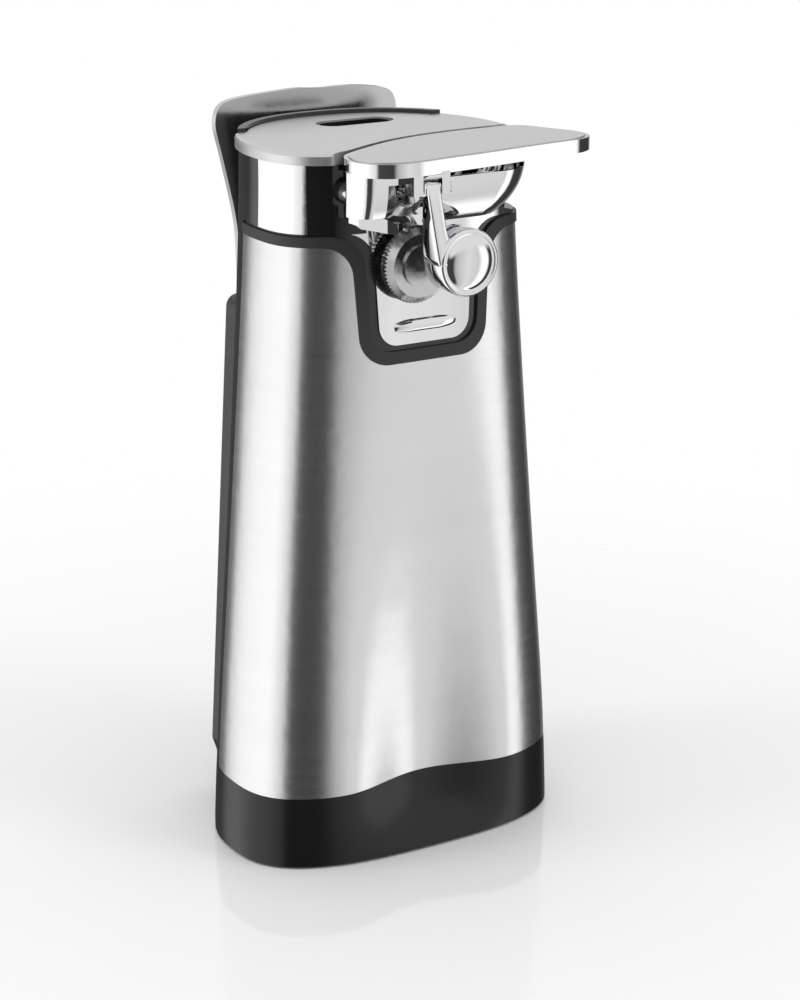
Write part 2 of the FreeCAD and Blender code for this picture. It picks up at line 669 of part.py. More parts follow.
def make_lever_crank():
    """Arm on the inner end of the pivot shaft; it works the switch."""
    arm = front_slab([(PIVOT_X - 3.6, PIVOT_Z + 3.4, 2.2), (PIVOT_X + CRANK_REACH + 2, PIVOT_Z - 0.1, 0.8),
                      (PIVOT_X + CRANK_REACH + 2, PIVOT_Z - 2.4, 0.8), (PIVOT_X - 3.6, PIVOT_Z - 3.6, 2.2)],
                     -14.0, -11.0)
    return arm.cut(rod(PIVOT_X, PIVOT_Z, LEVER_SHAFT_RADIUS, -20, 0))


def make_return_spring():
    """Close-wound coil round the pivot shaft, between the bush and the crank."""
    wire = 0.45
    turns = [Part.makeTorus(2.7, wire, V(PIVOT_X, -16.4 + 0.93 * i, PIVOT_Z), V(0, 1, 0)) for i in range(3)]
    return Part.makeCompound(turns)


def make_switch_body():
    x = PIVOT_X + CRANK_REACH
    body = front_slab([(x - 7, PLUNGER_TOP - 2.6, 1), (x + 7, PLUNGER_TOP - 2.6, 1), (x + 7, 200.0, 1),
                       (x - 7, 200.0, 1)], -16.0, -9.4)
    for side in (-4.5, 4.5):
        body = body.fuse(box(x + side - 0.4, x + side + 0.4, -14.6, -10.6, 194.0, 200.5))
    return body.cut(box(x - 1.6, x + 1.6, -14.1, -10.9, PLUNGER_TOP - 9.0, 230)).removeSplitter()


def make_switch_plunger():
    x = PIVOT_X + CRANK_REACH
    return box(x - 1.5, x + 1.5, -14.0, -11.0, PLUNGER_TOP - 6.0, PLUNGER_TOP)


# ---------------------------------------------------------------- lever, cutter, magnet
def handle_outline(inset, z):
    """Closed outline of the lever's flat handle, seen from above."""
    back = [(-25.6, -22.4), (-20.0, -18.8), (-12.0, -14.2), (-3.0, -10.1), (6.0, -7.5), (15.0, -5.8),
            (25.0, -4.8), (36.0, -4.5), (43.0, -4.6)]
    front = [(47.5, -7.0), (51.0, -13.5), (54.2, -21.0), (56.4, -28.0), (54.8, -33.6), (49.5, -37.6),
             (39.0, -39.6), (22.0, -42.0), (7.0, -44.4), (-5.0, -45.9), (-17.0, -47.6), (-25.0, -46.6),
             (-30.0, -42.8), (-32.4, -37.0), (-31.6, -30.6), (-29.0, -25.4)]
    points = back + front
    moved = []
    for i, (x, y) in enumerate(points):
        ahead = points[(i + 1) % len(points)]
        behind = points[i - 1]
        along = V(ahead[0] - behind[0], ahead[1] - behind[1], 0).normalize()
        moved.append(V(x + along.y * inset, y - along.x * inset, z))
    return smooth_wire(moved)


def handle_slab(inset, z0, z1):
    return slab(handle_outline(inset, z0), V(0, 0, z1 - z0))


def bowl_section(x0, x1, front, z, inset):
    """Plan of the lever's skirt at one height: straight behind, rounded at both ends."""
    back = -24.9 - inset
    front += inset
    x0 += inset
    x1 -= inset
    depth = back - front
    return rounded([(V(x0 + 6.0, back, z), 1.0), (V(x0, back - depth / 2, z), 3.5), (V(x0 + 3.0, front, z), 3.5),
                    (V(x1, front, z), depth * 0.68 + 1.5), (V(x1, back, z), 0.5)])


def bowl(inset, low):
    """Skirt under the handle, narrowing downwards."""
    wires = [bowl_section(-33.4, 31.0, -42.0, LEVER_FOOT + 0.6, inset),
             bowl_section(-33.4, 29.6, -41.6, 219.0, inset),
             bowl_section(-33.2, 25.6, -40.0, 213.0, inset),
             bowl_section(-33.0, 21.0, -38.0, low, inset)]
    return Part.makeLoft(wires, True, False)


def make_lever_frame():
    """Chrome casting: flat handle, skirt, back wall, hub and cutter boss."""
    handle = handle_slab(0.0, LEVER_FOOT, CAP_TOP - LEVER_COVER + 0.6)
    handle = handle.cut(handle_slab(1.3, CAP_TOP - LEVER_COVER, CAP_TOP + 1))
    skirt = bowl(0.0, 209.4).cut(bowl(1.7, 209.3).common(box(-60, 60, -60, 0, 200, LEVER_FOOT - 0.6)))
    skirt = skirt.cut(box(-23.5, -8.6, -60, -27.4, 200, 222.4))
    skirt = skirt.cut(box(-40.0, -8.6, -60, -27.4, 200, 212.6))
    skirt = skirt.cut(box(-4.0, 27.0, -60, -30.0, LEVER_FOOT - 2.2, LEVER_FOOT))
    hub = rod(PIVOT_X, PIVOT_Z, 3.8, -30.0, -25.0)
    boss = rod(CUTTER_X, CUTTER_Z, 4.4, -31.9, -25.0)
    knuckle_blocks = []
    for x0, x1 in ((-17.5, -14.2), (-7.6, -4.8)):
        knuckle_blocks.append(box(x0, x1, HINGE_Y - 2.0, HINGE_Y + 3.4, 219.2, 226))
    body = join([handle, skirt, hub, boss] + knuckle_blocks)
    body = body.cut(bar(HINGE_Y, HINGE_Z, 1.2 + RUNNING_FIT, -17.0, -4.7))
    body = body.cut(rod(CUTTER_X, CUTTER_Z, CUTTER_RADIUS + 0.5, -38.4, -32.0))
    body = body.cut(bar(HINGE_Y, HINGE_Z, 4.2, -14.2, -7.6))
    body = body.cut(rod(PIVOT_X, PIVOT_Z, LEVER_SHAFT_RADIUS, -40, 0))
    body = body.cut(make_rim_guide())
    return body.cut(rod(CUTTER_X, CUTTER_Z, 2.0, -40, -26.6))


def make_lever_cover():
    """Satin plate let into the top of the handle."""
    return handle_slab(1.45, CAP_TOP - LEVER_COVER, CAP_TOP)


STUD = (-24.4, 213.4)
STUD_RADIUS = 1.6


def make_rim_guide():
    """Hard steel foot that rides on the can's rim beside the cutter."""
    foot = front_slab([(-30.4, 214.4, 1), (-24.0, 212.6, 1.5), (-16.6, 209.2, 0.8), (-16.6, 205.8, 0.8),
                       (-24.0, 207.8, 1.5), (-30.4, 209.4, 1)], -36.2, -30.2)
    stud = rod(*STUD, STUD_RADIUS, -38.0, -26.7)
    return join([foot, stud])


def make_cutter_wheel():
    """Bevelled blade, free to spin on its screw."""
    edge = Part.makeCone(CUTTER_RADIUS - 1.4, CUTTER_RADIUS, 0.9, V(CUTTER_X, -32.2, CUTTER_Z), V(0, -1, 0))
    face = Part.makeCone(CUTTER_RADIUS, 4.8, 2.6, V(CUTTER_X, -33.1, CUTTER_Z), V(0, -1, 0))
    blade = edge.fuse(face).removeSplitter()
    return blade.cut(rod(CUTTER_X, CUTTER_Z, 2.6 + RUNNING_FIT, -50, 0))


def make_cutter_screw():
    shank = rod(CUTTER_X, CUTTER_Z, 2.0, -33.0, -26.6)
    shoulder = rod(CUTTER_X, CUTTER_Z, 2.6, -35.9, -32.0)
    head = Part.makeCone(4.2, 3.4, 2.2, V(CUTTER_X, -35.9, CUTTER_Z), V(0, -1, 0))
    screw = join([shank, shoulder, head])
    return screw.cut(box(CUTTER_X - 5, CUTTER_X + 5, -40, -37.2, CUTTER_Z - 0.5, CUTTER_Z + 0.5))


def make_magnet_arm():
    """Strap with a domed disc, hanging from its hinge in front of the drive wheel."""
    barrel = bar(HINGE_Y, HINGE_Z, 2.6, -13.9, -7.9)
    arm = box(-13.2, -8.6, -51.0, -43.6, MAGNET_Z, 222.0)
    slope = front_bar_slope()
    arm = arm.cut(slope)
    disc = rod(MAGNET_X, MAGNET_Z, MAGNET_RADIUS, -51.2, -42.0)
    dome = Part.makeSphere(26.0, V(MAGNET_X, FRONT_Y + 26.0, MAGNET_Z))
    dome = dome.common(rod(MAGNET_X, MAGNET_Z, 7.8, -60, -50.6))
    body = join([barrel, arm, disc, dome])
    body = body.cut(rod(MAGNET_X, MAGNET_Z, 8.2, -44.0, -30))
    return body.cut(bar(HINGE_Y, HINGE_Z, 1.2 + RUNNING_FIT, -20, 0))


def front_bar_slope():
    """Wedge that thins the strap towards its hinge."""
    wire = Part.makePolygon([V(-20, -60, 199), V(-20, -51.0, 199), V(-20, -46.4, 224), V(-20, -60, 224),
                             V(-20, -60, 199)])
    return slab(wire, V(20, 0, 0))


def make_magnet():
    return rod(MAGNET_X, MAGNET_Z, 8.1, -44.0, -41.2)


def make_hinge_pin():
    pin = bar(HINGE_Y, HINGE_Z, 1.2, -16.9, -5.4)
    return pin.fuse(bar(HINGE_Y, HINGE_Z, 1.9, -4.8, -4.0)).fuse(bar(HINGE_Y, HINGE_Z, 1.2, -5.5, -4.7))


# ---------------------------------------------------------------- write everything
def main():
    os.makedirs("parts", exist_ok=True)
    makers = {
        "base_plinth": make_base_plinth,
        "base_cover": make_base_cover,
        "rubber_feet": make_feet,
        "cord_gland": make_cord_gland,
        "steel_wrap": make_steel_wrap,
        "front_housing": make_front_housing,
        "rear_housing": make_rear_housing,
        "housing_screws": make_housing_screws,
        "trim_band": make_trim_band,
        "bezel": make_bezel,
        "head_plate": make_head_plate,
        "head_deck": make_head_deck,
        "top_cap": make_top_cap,
        "sharpener_guide": make_sharpener_guide,
        "sharpener_rods": make_sharpener_rods,
        "tool_holder": make_tool_holder,
        "multi_tool": make_multi_tool,
        "front_gear_plate": make_front_gear_plate,
        "rear_gear_plate": make_rear_gear_plate,
        "spacer_posts": make_spacer_posts,
        "gear_axles": make_gear_axles,
        "drive_wheel": make_drive_wheel,
        "drive_shaft": make_drive_shaft,
        "drive_bushing": make_drive_bushing,
        "drive_gear": make_drive_gear,
        "motor_core": make_motor_core,
        "motor_coil": make_motor_coil,
        "motor_rotor": make_motor_rotor,
        "motor_shaft": make_motor_shaft,
        "motor_pinion": make_motor_pinion,
        "lever_frame": make_lever_frame,
        "lever_cover": make_lever_cover,
        "lever_shaft": make_lever_shaft,
        "lever_bush": make_lever_bush,
        "lever_crank": make_lever_crank,
        "return_spring": make_return_spring,
        "switch_body": make_switch_body,
        "switch_plunger": make_switch_plunger,
        "rim_guide": make_rim_guide,
        "cutter_wheel": make_cutter_wheel,
        "cutter_screw": make_cutter_screw,
        "magnet_arm": make_magnet_arm,
        "magnet": make_magnet,
        "hinge_pin": make_hinge_pin,
    }
    for name, maker in makers.items():
        save(maker(), name)
    save(make_compound(SECOND, STAGE_B, LAYER_B, STAGE_C, LAYER_C, PHASE_C), "second_gear")
    save(make_compound(FIRST, STAGE_A, LAYER_A, STAGE_B, LAYER_B, PHASE_B), "first_gear")
    save(make_motor_bracket(REAR_PLATE[1] + 0.1, REAR_PLATE[1] + 1.6, STACK[0]), "front_bracket")
    save(make_motor_bracket(36.2, 37.8, STACK[1]), "rear_bracket")
    save(make_motor_bush(REAR_PLATE[1] + 0.1, REAR_PLATE[1] + 2.0), "front_motor_bush")
    save(make_motor_bush(36.2, 38.2), "rear_motor_bush")


main()
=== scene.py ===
import json
import math

import bmesh
import bpy
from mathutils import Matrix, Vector


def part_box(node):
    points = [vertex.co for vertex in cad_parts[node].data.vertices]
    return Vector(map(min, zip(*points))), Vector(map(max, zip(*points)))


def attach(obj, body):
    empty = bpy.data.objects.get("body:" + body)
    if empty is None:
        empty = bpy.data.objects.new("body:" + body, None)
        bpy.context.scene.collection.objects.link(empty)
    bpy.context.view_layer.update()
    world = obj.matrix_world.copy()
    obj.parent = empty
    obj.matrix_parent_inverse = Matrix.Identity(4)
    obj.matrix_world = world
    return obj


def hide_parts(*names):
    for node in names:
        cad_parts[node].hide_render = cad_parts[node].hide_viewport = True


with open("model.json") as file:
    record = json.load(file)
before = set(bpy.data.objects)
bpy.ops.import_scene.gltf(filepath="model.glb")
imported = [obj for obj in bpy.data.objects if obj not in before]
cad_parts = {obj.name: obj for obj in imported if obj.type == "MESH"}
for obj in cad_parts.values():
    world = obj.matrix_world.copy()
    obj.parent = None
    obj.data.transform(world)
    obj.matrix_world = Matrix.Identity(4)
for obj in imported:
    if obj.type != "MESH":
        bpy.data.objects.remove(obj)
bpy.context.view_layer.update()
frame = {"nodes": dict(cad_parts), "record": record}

MM = 0.001
GRAIN_DEPTH = 0.1 * MM                 # depth of the finest relief on any surface

# ---------------------------------------------------------------- camera
VIEW_AZIMUTH = math.radians(31.5)      # the camera stands to the left of the front
VIEW_HEIGHT = math.radians(17.3)
VIEW_DISTANCE = 0.850
AIM_SIDE = 0.0052                      # how far right of the axis the camera aims
AIM_HEIGHT = 0.1106
LENS = 94.14                           # on a 36 mm sensor


def make_camera():
    """The photograph's viewpoint."""
    back = Vector((-math.sin(VIEW_AZIMUTH) * math.cos(VIEW_HEIGHT),
                   -math.cos(VIEW_AZIMUTH) * math.cos(VIEW_HEIGHT),
                   math.sin(VIEW_HEIGHT)))
    right = Vector((math.cos(VIEW_AZIMUTH), -math.sin(VIEW_AZIMUTH), 0.0))
    aim = Vector((0.0, 0.0, AIM_HEIGHT)) + right * AIM_SIDE
    data = bpy.data.cameras.new("camera")
    data.lens = LENS
    data.sensor_width = 36.0
    camera = bpy.data.objects.new("camera", data)
    camera.location = aim + back * VIEW_DISTANCE
    camera.rotation_euler = back.to_track_quat("Z", "Y").to_euler()
    bpy.context.scene.collection.objects.link(camera)
    bpy.context.scene.camera = camera


make_camera()


# ---------------------------------------------------------------- node helpers
def new_material(name):
    """A material with its Principled shader and a short way to add nodes."""
    material = bpy.data.materials.new(name)
    material.use_nodes = True
    nodes = material.node_tree.nodes
    shader = next(n for n in nodes if n.type == "BSDF_PRINCIPLED")
    return material, material.node_tree, shader


def add_node(tree, kind, **values):
    """New node; keys are attributes, or input names written with a leading in_."""
    node = tree.nodes.new(kind)
    for key, value in values.items():
        if key.startswith("in_"):
            node.inputs[key[3:].replace("_", " ")].default_value = value
        else:
            setattr(node, key, value)
    return node


def stretched_noise(tree, scale, detail=4.0):
    """Noise in the object's own coordinates, stretched by scale (per metre) along each axis."""
    coords = add_node(tree, "ShaderNodeTexCoord")
    mapping = add_node(tree, "ShaderNodeMapping")
    mapping.inputs["Scale"].default_value = scale
    tree.links.new(coords.outputs["Object"], mapping.inputs["Vector"])
    noise = add_node(tree, "ShaderNodeTexNoise", in_Scale=1.0, in_Detail=detail)
    tree.links.new(mapping.outputs["Vector"], noise.inputs["Vector"])
    return noise.outputs["Fac"]


def spread(tree, value, low, high):
    """Maps noise around one half to a range."""
    node = add_node(tree, "ShaderNodeMapRange")
    node.inputs["From Min"].default_value = 0.3
    node.inputs["From Max"].default_value = 0.7
    node.inputs["To Min"].default_value = low
    node.inputs["To Max"].default_value = high
    tree.links.new(value, node.inputs["Value"])
    return node.outputs["Result"]


def tint(tree, value, dark, light):
    """Blends two colours by a 0..1 value."""
    mix = add_node(tree, "ShaderNodeMix", data_type="RGBA")
    colours = [s for s in mix.inputs if s.type == "RGBA"]
    colours[0].default_value = (*dark, 1.0)
    colours[1].default_value = (*light, 1.0)
    tree.links.new(value, mix.inputs["Factor"])
    return next(s for s in mix.outputs if s.type == "RGBA")


def bump(tree, shader, height, strength):
    """Fine relief on a shader from a height value."""
    node = add_node(tree, "ShaderNodeBump", in_Strength=strength, in_Distance=GRAIN_DEPTH)
    tree.links.new(height, node.inputs["Height"])
    tree.links.new(node.outputs["Normal"], shader.inputs["Normal"])


def metal(name, dark, light, rough, grain, grain_bump, anisotropic=0.0, wear=(14.0, 14.0, 14.0)):
    """Metal with directional grain, slow tonal drift and varied roughness."""
    material, tree, shader = new_material(name)
    shader.inputs["Metallic"].default_value = 1.0
    fine = stretched_noise(tree, grain, 3.0)
    slow = stretched_noise(tree, wear, 3.0)
    tree.links.new(tint(tree, slow, dark, light), shader.inputs["Base Color"])
    tree.links.new(spread(tree, fine, rough[0], rough[1]), shader.inputs["Roughness"])
    bump(tree, shader, fine, grain_bump)
    if anisotropic:
        shader.inputs["Anisotropic"].default_value = anisotropic
        tangent = add_node(tree, "ShaderNodeTangent", direction_type="RADIAL", axis="Z")
        tree.links.new(tangent.outputs["Tangent"], shader.inputs["Tangent"])
    return material


def plastic(name, dark, light, rough, grain_scale, grain_bump, specular=0.5):
    """Moulded plastic: slight drift of tone, fine texture."""
    material, tree, shader = new_material(name)
    fine = stretched_noise(tree, (grain_scale,) * 3, 2.0)
    slow = stretched_noise(tree, (25.0,) * 3, 2.0)
    tree.links.new(tint(tree, slow, dark, light), shader.inputs["Base Color"])
    tree.links.new(spread(tree, slow, rough[0], rough[1]), shader.inputs["Roughness"])
    bump(tree, shader, fine, grain_bump)
    shader.inputs["Specular IOR Level"].default_value = specular
    return material


MATERIALS = {
    "brushed_steel": metal("brushed_steel", (0.62, 0.62, 0.625), (0.70, 0.70, 0.705), (0.15, 0.20),
                           (9.0, 9.0, 5200.0), 0.035, 0.85, (6.0, 6.0, 60.0)),
    "chrome": metal("chrome", (0.66, 0.66, 0.67), (0.74, 0.74, 0.75), (0.035, 0.065),
                    (220.0, 220.0, 220.0), 0.01),
    "satin_silver": metal("satin_silver", (0.56, 0.56, 0.56), (0.62, 0.62, 0.62), (0.34, 0.42),
                          (900.0, 900.0, 900.0), 0.06),
    "plate_steel": metal("plate_steel", (0.42, 0.42, 0.41), (0.56, 0.56, 0.54), (0.25, 0.5),
                         (300.0, 300.0, 300.0), 0.05),
    "blade_steel": metal("blade_steel", (0.50, 0.50, 0.50), (0.60, 0.60, 0.60), (0.16, 0.28),
                         (500.0, 500.0, 500.0), 0.05),
    "tool_steel": metal("tool_steel", (0.50, 0.50, 0.505), (0.56, 0.56, 0.565), (0.16, 0.22),
                        (600.0, 600.0, 600.0), 0.02),
    "lamination": metal("lamination", (0.10, 0.10, 0.11), (0.20, 0.19, 0.19), (0.4, 0.6),
                        (30.0, 1800.0, 30.0), 0.4),
    "copper": metal("copper", (0.50, 0.20, 0.09), (0.68, 0.32, 0.15), (0.2, 0.35),
                    (1600.0, 60.0, 60.0), 0.6),
    "bronze": metal("bronze", (0.48, 0.34, 0.16), (0.60, 0.45, 0.24), (0.35, 0.55),
                    (700.0, 700.0, 700.0), 0.2),
    "magnet_black": metal("magnet_black", (0.06, 0.06, 0.065), (0.12, 0.12, 0.12), (0.35, 0.55),
                          (500.0, 500.0, 500.0), 0.15),
    "black_gloss": plastic("black_gloss", (0.010, 0.010, 0.011), (0.016, 0.016, 0.017), (0.08, 0.13),
                           300.0, 0.01),
    "charcoal": plastic("charcoal", (0.022, 0.022, 0.023), (0.028, 0.028, 0.029), (0.45, 0.52),
                        1800.0, 0.10, 0.3),
    "black_satin": plastic("black_satin", (0.006, 0.006, 0.0065), (0.009, 0.009, 0.0095), (0.20, 0.27),
                           900.0, 0.03, 0.3),
    "inner_plastic": plastic("inner_plastic", (0.08, 0.08, 0.085), (0.11, 0.11, 0.115), (0.5, 0.6),
                             900.0, 0.1),
    "rubber": plastic("rubber", (0.015, 0.015, 0.015), (0.025, 0.025, 0.025), (0.65, 0.8), 1500.0, 0.2),
    "gear_nylon": plastic("gear_nylon", (0.72, 0.70, 0.62), (0.80, 0.78, 0.71), (0.35, 0.45), 700.0, 0.05),
    "ceramic": plastic("ceramic", (0.76, 0.74, 0.70), (0.84, 0.82, 0.78), (0.4, 0.5), 2500.0, 0.2),
}


INLAY_X = (-37.2 * MM, -20.0 * MM)     # from the band's end to behind the lever's skirt
INLAY_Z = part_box("trim_band")[1][2] + 0.5 * MM


def inlaid_chrome():
    """The head's chrome, with the glossy black inlay between its band and the lever's skirt."""
    material = metal("head_chrome", (0.70, 0.70, 0.71), (0.78, 0.78, 0.79), (0.035, 0.065),
                     (220.0, 220.0, 220.0), 0.01)
    tree = material.node_tree
    chrome = next(n for n in tree.nodes if n.type == "BSDF_PRINCIPLED")
    black = add_node(tree, "ShaderNodeBsdfPrincipled")
    black.inputs["Base Color"].default_value = (0.008, 0.008, 0.008, 1.0)
    black.inputs["Roughness"].default_value = 0.10
    coords = add_node(tree, "ShaderNodeTexCoord")
    place = add_node(tree, "ShaderNodeSeparateXYZ")
    tree.links.new(coords.outputs["Object"], place.inputs["Vector"])
    tests = [("X", "GREATER_THAN", INLAY_X[0]),
             ("X", "LESS_THAN", INLAY_X[1]),
             ("Z", "GREATER_THAN", INLAY_Z)]
    shares = []
    for axis, operation, limit in tests:
        test = add_node(tree, "ShaderNodeMath", operation=operation)
        tree.links.new(place.outputs[axis], test.inputs[0])
        test.inputs[1].default_value = limit
        shares.append(test.outputs["Value"])
    for other in shares[1:]:
        both = add_node(tree, "ShaderNodeMath", operation="MULTIPLY")
        tree.links.new(shares[0], both.inputs[0])
        tree.links.new(other, both.inputs[1])
        shares[0] = both.outputs["Value"]
    mix = add_node(tree, "ShaderNodeMixShader")
    tree.links.new(shares[0], mix.inputs["Fac"])
    tree.links.new(chrome.outputs["BSDF"], mix.inputs[1])
    tree.links.new(black.outputs["BSDF"], mix.inputs[2])
    out = next(n for n in tree.nodes if n.type == "OUTPUT_MATERIAL")
    tree.links.new(mix.outputs["Shader"], out.inputs["Surface"])
    return material


EDGE_WIDTH = 0.35 * MM
EDGE_SEGMENTS = 2
EDGE_ANGLE = math.radians(38)          # edges sharper than this are rounded
SOFT_EDGED = ("lever_frame", "rim_guide", "head_plate", "trim_band", "tool_holder", "multi_tool",
              "base_plinth", "cutter_screw", "cutter_wheel", "drive_wheel")


def soften_edges():
    """Small rounds along the sharp edges of cast and moulded pieces, so that they catch the light."""
    for node in SOFT_EDGED:
        bevel = frame["nodes"][node].modifiers.new("edge", "BEVEL")
        bevel.width = EDGE_WIDTH
        bevel.segments = EDGE_SEGMENTS
        bevel.limit_method = "ANGLE"
        bevel.angle_limit = EDGE_ANGLE
        bevel.harden_normals = True


def dress_frame():
    """Every carried CAD node takes the material of its slot."""
    slots = {entry["node"]: entry["material_slot"] for entry in frame["record"]["subparts"]}
    for node, thing in frame["nodes"].items():
        material = MATERIALS[slots[node]]
        if not thing.material_slots:
            thing.data.materials.append(material)
        for place in thing.material_slots:
            place.material = material
    head_chrome = inlaid_chrome()
    for place in frame["nodes"]["head_plate"].material_slots:
        place.material = head_chrome
    # the mouth of the pivot's bush is blackened, so that it is lost in the inlay
    for place in frame["nodes"]["lever_bush"].material_slots:
        place.material = MATERIALS["black_satin"]


dress_frame()
soften_edges()


# ---------------------------------------------------------------- detailed pieces
ON_AXIS = 1e-7                         # a radius below this is a single point on the axis


def revolve(mesh, profile, centre, axis, turns):
    """Adds a surface of revolution to a bmesh; profile is (radius, place along the axis)."""
    rings = []
    for radius, along in profile:
        if radius < ON_AXIS:
            rings.append([mesh.verts.new(centre + axis * along)])
            continue
        across = axis.orthogonal().normalized()
        other = axis.cross(across)
        ring = []
        for i in range(turns):
            turn = 2 * math.pi * i / turns
            spoke = across * math.cos(turn) + other * math.sin(turn)
            ring.append(mesh.verts.new(centre + axis * along + spoke * radius))
        rings.append(ring)
    for near, far in zip(rings, rings[1:]):
        for i in range(turns):
            j = (i + 1) % turns
            corners = [near[i % len(near)], near[j % len(near)], far[j % len(far)], far[i % len(far)]]
            unique = list(dict.fromkeys(corners))
            if len(unique) > 2:
                mesh.faces.new(unique)


def finish_piece(name, mesh, slot, body):
    """Turns a bmesh into a named piece with its material, riding on a body."""
    bmesh.ops.recalc_face_normals(mesh, faces=mesh.faces)
    data = bpy.data.meshes.new(name)
    mesh.to_mesh(data)
    mesh.free()
    for face in data.polygons:
        face.use_smooth = True
    data.materials.append(MATERIALS[slot])
    piece = bpy.data.objects.new(name, data)
    bpy.context.scene.collection.objects.link(piece)
    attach(piece, body)
    return piece


# the disc's front, from its middle to its rim: share of the radius, and depth behind the crown in mm
DISC_FRONT = [(0.0, 0.0), (0.16, 0.03), (0.32, 0.14), (0.48, 0.36), (0.62, 0.74), (0.72, 1.20),
              (0.77, 1.62), (0.81, 1.80), (0.85, 1.62), (0.89, 1.44), (0.93, 1.50), (0.97, 1.90),
              (1.0, 2.60)]
DISC_TURNS = 96
MAGNET_PROUD = 0.6 * MM                # how far the magnet stands out behind the disc
RIM_CHAMFER = 0.5 * MM
BARREL_ENDS = (0.1 * MM, 5.9 * MM)     # from the left side of the holder
BARREL_CHAMFER = 0.3 * MM
BARREL_TURNS = 40
STRAP_TOP = 1.6 * MM                   # above the hinge's axis
STRAP_INSET = 0.5 * MM                 # of the strap's left side, at the top
STRAP_WIDTH = 4.8 * MM
STRAP_DRIFT = 1.9 * MM                 # to the right, on the way down
STRAP_FLARE = 2.4 * MM                 # how much wider the strap is where it meets the disc
FLARE_START = 0.62                     # share of the way down
STRAP_SINK = 1.6 * MM                  # the strap's front ends this far behind the disc's crown
STRAP_EDGE = 0.7 * MM                  # radius of the strap's long edges
EDGE_POINTS = 4                        # along each of those rounded edges
STRAP_LEVELS = 14


def make_magnet_holder():
    """Strap and domed disc in one flowing form: the strap runs down into the rim of the disc."""
    low, high = (Vector(corner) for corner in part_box("magnet_arm"))
    magnet_low, magnet_high = (Vector(corner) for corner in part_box("magnet"))
    middle = (magnet_low + magnet_high) / 2
    pin_low, pin_high = (Vector(corner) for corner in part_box("hinge_pin"))
    hinge = (pin_low + pin_high) / 2
    crown = low.y
    radius = high.x - middle.x
    back = magnet_high.y - MAGNET_PROUD
    mesh = bmesh.new()
    front = [(radius * share, depth * MM) for share, depth in DISC_FRONT]
    front += [(radius, back - crown - RIM_CHAMFER), (radius * 0.96, back - crown),
              (radius * 0.80, back - crown)]
    revolve(mesh, front, Vector((middle.x, crown, middle.z)), Vector((0, 1, 0)), DISC_TURNS)
    barrel = high.y - hinge.y
    start, end = (low.x + place for place in BARREL_ENDS)
    revolve(mesh, [(0.0, start), (barrel * 0.9, start), (barrel, start + BARREL_CHAMFER),
                   (barrel, end - BARREL_CHAMFER), (barrel * 0.9, end), (0.0, end)],
            Vector((0.0, hinge.y, hinge.z)), Vector((1, 0, 0)), BARREL_TURNS)
    # the strap's cross-sections, from the hinge down to the disc
    top = hinge.z + STRAP_TOP
    edge = STRAP_EDGE
    rings = []
    for i in range(STRAP_LEVELS + 1):
        share = i / STRAP_LEVELS
        z = top + (middle.z - top) * share
        x0 = low.x + STRAP_INSET + STRAP_DRIFT * share ** 1.5
        x1 = x0 + STRAP_WIDTH + STRAP_FLARE * max(0.0, share - FLARE_START) / (1.0 - FLARE_START)
        y0 = hinge.y - barrel + (crown + STRAP_SINK - hinge.y + barrel) * share ** 0.8
        y1 = hinge.y + (back - hinge.y) * share
        corners = [(x0 + edge, y0 + edge), (x1 - edge, y0 + edge),
                   (x1 - edge, y1 - edge), (x0 + edge, y1 - edge)]
        ring = []
        for number, (x, y) in enumerate(corners):
            for step in range(EDGE_POINTS):
                turn = math.pi * (1.0 + number / 2.0 + step / (2.0 * (EDGE_POINTS - 1)))
                ring.append(mesh.verts.new((x + edge * math.cos(turn), y + edge * math.sin(turn), z)))
        rings.append(ring)
    for near, far in zip(rings, rings[1:]):
        for i in range(len(near)):
            j = (i + 1) % len(near)
            mesh.faces.new([near[i], near[j], far[j], far[i]])
    mesh.faces.new(rings[0])
    mesh.faces.new(list(reversed(rings[-1])))
    piece = finish_piece("magnet_holder_form", mesh, "chrome", "magnet_holder")
    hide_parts("magnet_arm")


BEAD_HALF = 11.6 * MM                  # half its length
BEAD_TALL = 2.5 * MM                   # half its height
BEAD_PROUD = 2.6 * MM
BEAD_FOOT = 1.9 * MM                   # its root lies this far behind the head's foremost point
BEAD_RISE = 5.6 * MM                   # its middle line above the head's lower edge
BEAD_STEPS = 40                        # along it
BEAD_ARC = 16                          # round it


def make_bead():
    """The long rounded bead low on the tongue, that the can leans on."""
    low = Vector(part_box("head_plate")[0])
    foot_y = low.y + BEAD_FOOT
    z = low.z + BEAD_RISE
    mesh = bmesh.new()
    rings = []
    for i in range(1, BEAD_STEPS):
        turn = math.pi * i / BEAD_STEPS
        x = -BEAD_HALF * math.cos(turn) * (1.0 - 0.10 * math.sin(turn) ** 2)
        size = min(1.0, math.sin(turn) ** 0.5 * 1.08)
        ring = []
        for k in range(BEAD_ARC + 1):
            around = math.pi * k / BEAD_ARC
            ring.append(mesh.verts.new((x, foot_y - BEAD_PROUD * size * math.sin(around),
                                        z + BEAD_TALL * size * math.cos(around))))
        rings.append(ring)
    for near, far in zip(rings, rings[1:]):
        for k in range(BEAD_ARC):
            mesh.faces.new([near[k], near[k + 1], far[k + 1], far[k]])
    for ring, side in ((rings[0], -BEAD_HALF), (rings[-1], BEAD_HALF)):
        tip = mesh.verts.new((side, foot_y, z))
        for k in range(BEAD_ARC):
            mesh.faces.new([tip, ring[k], ring[k + 1]])
    finish_piece("tongue_bead", mesh, "chrome", "body")


make_magnet_holder()
make_bead()


# ---------------------------------------------------------------- floor, world and lights
FLOOR_HALF = 0.6
FLOOR_FADE = (0.16, 0.42)              # the floor melts into the white background between these radii
